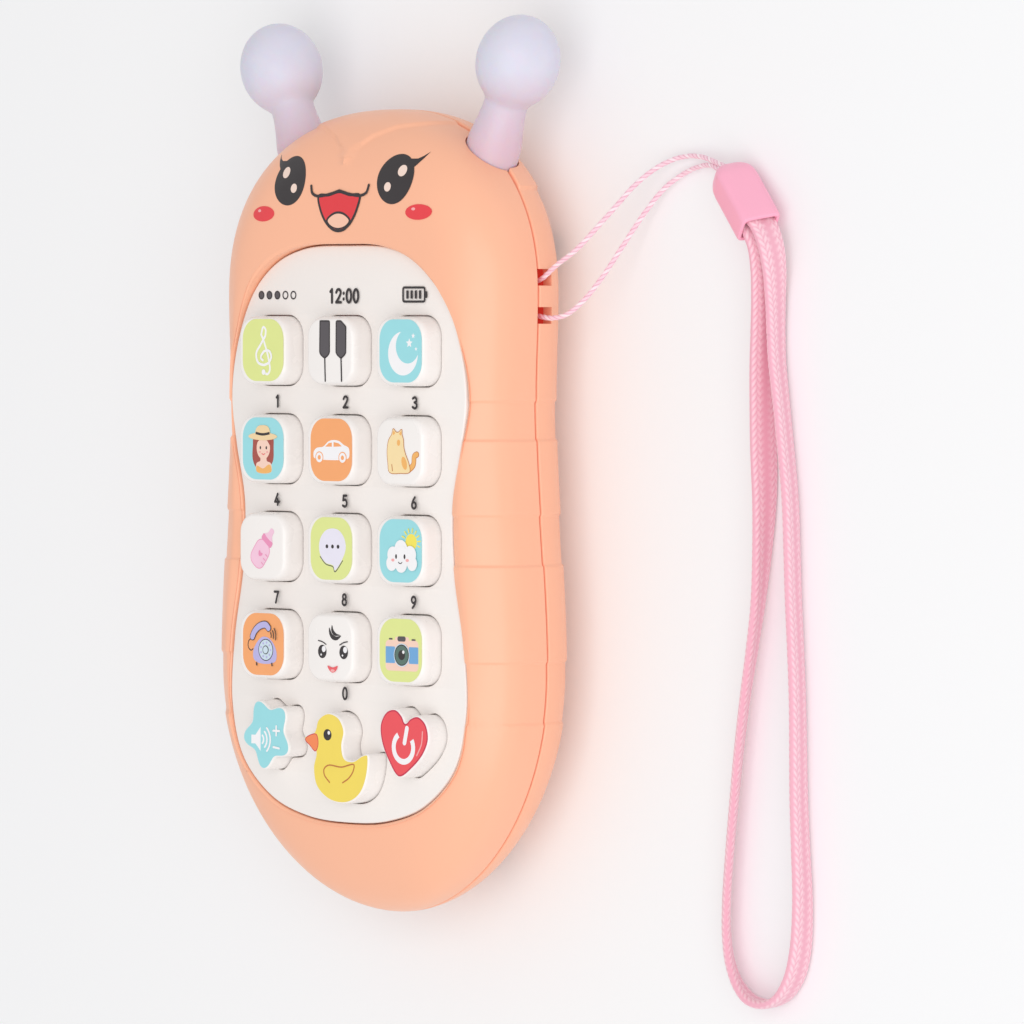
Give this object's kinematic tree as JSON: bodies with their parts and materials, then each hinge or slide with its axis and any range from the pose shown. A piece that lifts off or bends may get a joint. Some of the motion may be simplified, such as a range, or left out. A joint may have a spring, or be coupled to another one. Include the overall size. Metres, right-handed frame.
{
  "type": "toy cell phone",
  "caption": "Toddler's pretend phone with a smiling bug face, soft ball-tipped feelers, picture keys that press, a speaker, a battery door and a wrist strap.",
  "frame": {"origin": "centre of the phone's outline on the flat of its back, on the surface it lies on", "axes": "+Z out of the face, +Y towards the head and the antennae, +X to the strap side"},
  "size_m": [0.1422, 0.1882, 0.0335],
  "materials": {
    "shell": "smooth moulded ABS, satin gloss, pale peach",
    "door": "smooth moulded ABS, satin gloss, pale peach",
    "panel": "smooth moulded ABS, satin gloss, warm white",
    "key": "smooth moulded ABS, gloss white, printed on top",
    "key_rubber": "matte grey silicone mat",
    "board": "green glass-fibre laminate",
    "chip": "black potting resin",
    "speaker_steel": "stamped steel",
    "speaker_paper": "pressed paper cone",
    "screw": "zinc-plated steel",
    "cell": "plain printed sleeve over a steel can",
    "spring": "nickel-plated spring wire",
    "contact": "stamped brass strip",
    "lead_red": "red PVC insulation",
    "lead_black": "black PVC insulation",
    "antenna": "soft silicone, pale lilac grey",
    "cord": "thin twisted cord, white and pink",
    "strap": "soft flat braid, pale pink",
    "clasp": "moulded pink plastic, satin gloss"
  },
  "bodies": {
    "housing": {"front_shell": "shell", "back_shell": "shell", "keypad_panel": "panel", "key_mat": "key_rubber", "circuit_board": "board", "sound_chip": "chip", "speaker_basket": "speaker_steel", "speaker_cone": "speaker_paper", "case_screw_1": "screw", "case_screw_2": "screw", "case_screw_3": "screw", "case_screw_4": "screw", "board_screw_1": "screw", "board_screw_2": "screw", "board_screw_3": "screw", "board_screw_4": "screw", "battery_1": "cell", "battery_2": "cell", "contact_spring_1": "spring", "contact_spring_2": "spring", "contact_bridge": "contact", "contact_positive": "contact", "contact_negative": "contact", "battery_lead_red": "lead_red", "battery_lead_black": "lead_black", "speaker_lead_red": "lead_red", "speaker_lead_black": "lead_black", "antenna_left_root": "antenna", "antenna_right_root": "antenna", "strap_cord_upper": "cord", "strap_cord_lower": "cord", "wrist_strap": "strap", "strap_clasp": "clasp"},
    "key_music": {"key_music": "key"},
    "key_piano": {"key_piano": "key"},
    "key_moon": {"key_moon": "key"},
    "key_girl": {"key_girl": "key"},
    "key_car": {"key_car": "key"},
    "key_cat": {"key_cat": "key"},
    "key_bottle": {"key_bottle": "key"},
    "key_chat": {"key_chat": "key"},
    "key_cloud": {"key_cloud": "key"},
    "key_telephone": {"key_telephone": "key"},
    "key_boy": {"key_boy": "key"},
    "key_camera": {"key_camera": "key"},
    "key_star": {"key_star": "key"},
    "key_duck": {"key_duck": "key"},
    "key_heart": {"key_heart": "key"},
    "battery_door": {"battery_door": "door", "battery_door_screw": "screw"},
    "antenna_left": {"antenna_left": "antenna"},
    "antenna_right": {"antenna_right": "antenna"}
  },
  "joints": [
    {"name": "press_music", "type": "slide", "parent": "housing", "child": "key_music", "axis": [0, 0, -1], "range_m": [0, 0.0012], "stiffness_N_per_m": 500},
    {"name": "press_piano", "type": "slide", "parent": "housing", "child": "key_piano", "axis": [0, 0, -1], "range_m": [0, 0.0012], "stiffness_N_per_m": 500},
    {"name": "press_moon", "type": "slide", "parent": "housing", "child": "key_moon", "axis": [0, 0, -1], "range_m": [0, 0.0012], "stiffness_N_per_m": 500},
    {"name": "press_girl", "type": "slide", "parent": "housing", "child": "key_girl", "axis": [0, 0, -1], "range_m": [0, 0.0012], "stiffness_N_per_m": 500},
    {"name": "press_car", "type": "slide", "parent": "housing", "child": "key_car", "axis": [0, 0, -1], "range_m": [0, 0.0012], "stiffness_N_per_m": 500},
    {"name": "press_cat", "type": "slide", "parent": "housing", "child": "key_cat", "axis": [0, 0, -1], "range_m": [0, 0.0012], "stiffness_N_per_m": 500},
    {"name": "press_bottle", "type": "slide", "parent": "housing", "child": "key_bottle", "axis": [0, 0, -1], "range_m": [0, 0.0012], "stiffness_N_per_m": 500},
    {"name": "press_chat", "type": "slide", "parent": "housing", "child": "key_chat", "axis": [0, 0, -1], "range_m": [0, 0.0012], "stiffness_N_per_m": 500},
    {"name": "press_cloud", "type": "slide", "parent": "housing", "child": "key_cloud", "axis": [0, 0, -1], "range_m": [0, 0.0012], "stiffness_N_per_m": 500},
    {"name": "press_telephone", "type": "slide", "parent": "housing", "child": "key_telephone", "axis": [0, 0, -1], "range_m": [0, 0.0012], "stiffness_N_per_m": 500},
    {"name": "press_boy", "type": "slide", "parent": "housing", "child": "key_boy", "axis": [0, 0, -1], "range_m": [0, 0.0012], "stiffness_N_per_m": 500},
    {"name": "press_camera", "type": "slide", "parent": "housing", "child": "key_camera", "axis": [0, 0, -1], "range_m": [0, 0.0012], "stiffness_N_per_m": 500},
    {"name": "press_star", "type": "slide", "parent": "housing", "child": "key_star", "axis": [0, 0, -1], "range_m": [0, 0.0012], "stiffness_N_per_m": 500},
    {"name": "press_duck", "type": "slide", "parent": "housing", "child": "key_duck", "axis": [0, 0, -1], "range_m": [0, 0.0012], "stiffness_N_per_m": 500},
    {"name": "press_heart", "type": "slide", "parent": "housing", "child": "key_heart", "axis": [0, 0, -1], "range_m": [0, 0.0012], "stiffness_N_per_m": 500},
    {"name": "battery_door_off", "type": "slide", "parent": "housing", "child": "battery_door", "axis": [0, 0, -1], "range_m": [0, 0.012]},
    {"name": "bend_antenna_left", "type": "hinge", "parent": "housing", "child": "antenna_left", "pos_m": [-0.02783, 0.06321, 0.0155], "axis": [0, 0, 1], "range_deg": [-10, 10], "stiffness_Nm_per_rad": 0.08},
    {"name": "bend_antenna_right", "type": "hinge", "parent": "housing", "child": "antenna_right", "pos_m": [0.02783, 0.06321, 0.0155], "axis": [0, 0, 1], "range_deg": [-10, 10], "stiffness_Nm_per_rad": 0.08}
  ]
}
